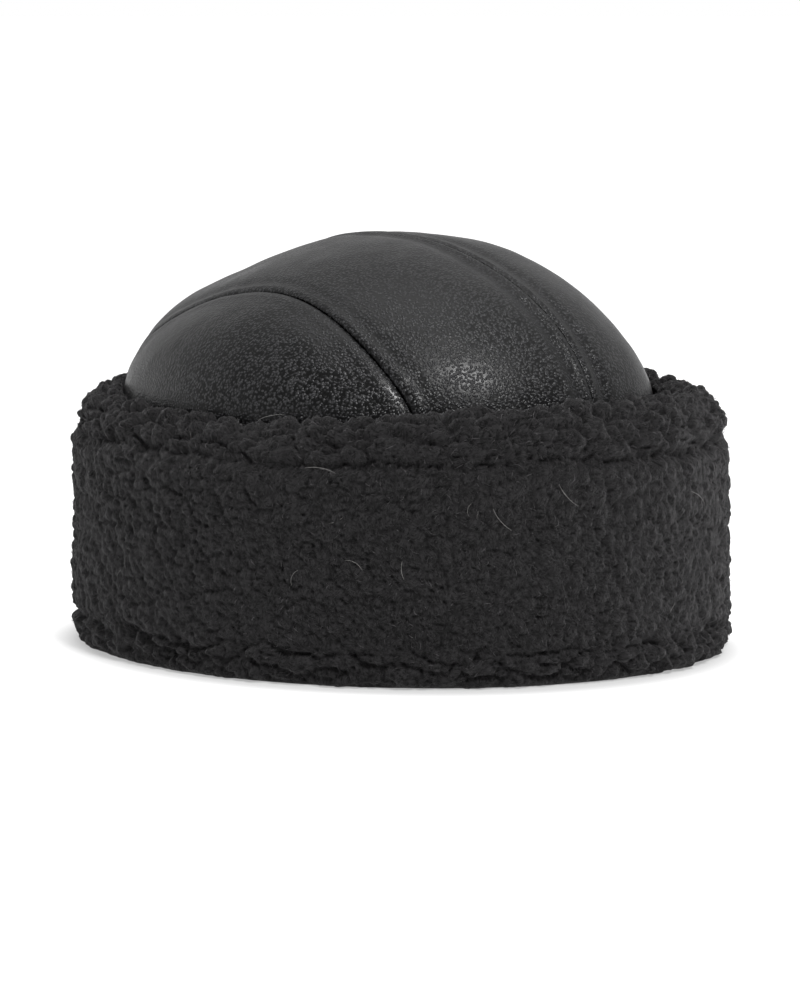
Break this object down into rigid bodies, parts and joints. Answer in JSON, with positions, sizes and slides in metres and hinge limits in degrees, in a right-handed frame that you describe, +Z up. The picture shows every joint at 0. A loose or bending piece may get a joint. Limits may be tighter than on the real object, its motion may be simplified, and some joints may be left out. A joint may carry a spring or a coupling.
{
  "type": "roller hat",
  "caption": "Low domed shearling hat: panelled leather crown with wool inside, and a deep turned-up cuff of curly fleece round the open head hollow.",
  "frame": {"origin": "middle of the footprint, on the surface that the hat's rolled foot lies on", "axes": "+Z up through the crown; the front of the hat faces -Y; the wearer's left ear is at +X"},
  "size_m": [0.2412, 0.2707, 0.1605],
  "materials": {
    "crown_leather": "finely pebbled sheepskin nappa, half matt, with a fine sparkle on the grain",
    "cuff_skin_side": "matt skin side, hidden in the cuff",
    "curly_fleece": "dense curly sheep's wool in small clumps, matt"
  },
  "bodies": {
    "root": {"crown_side_right": "crown_leather", "crown_side_left": "crown_leather", "crown_top_right": "crown_leather", "crown_top_left": "crown_leather", "crown_fleece": "curly_fleece", "cuff_skin": "cuff_skin_side", "cuff_fleece": "curly_fleece"}
  },
  "joints": []
}
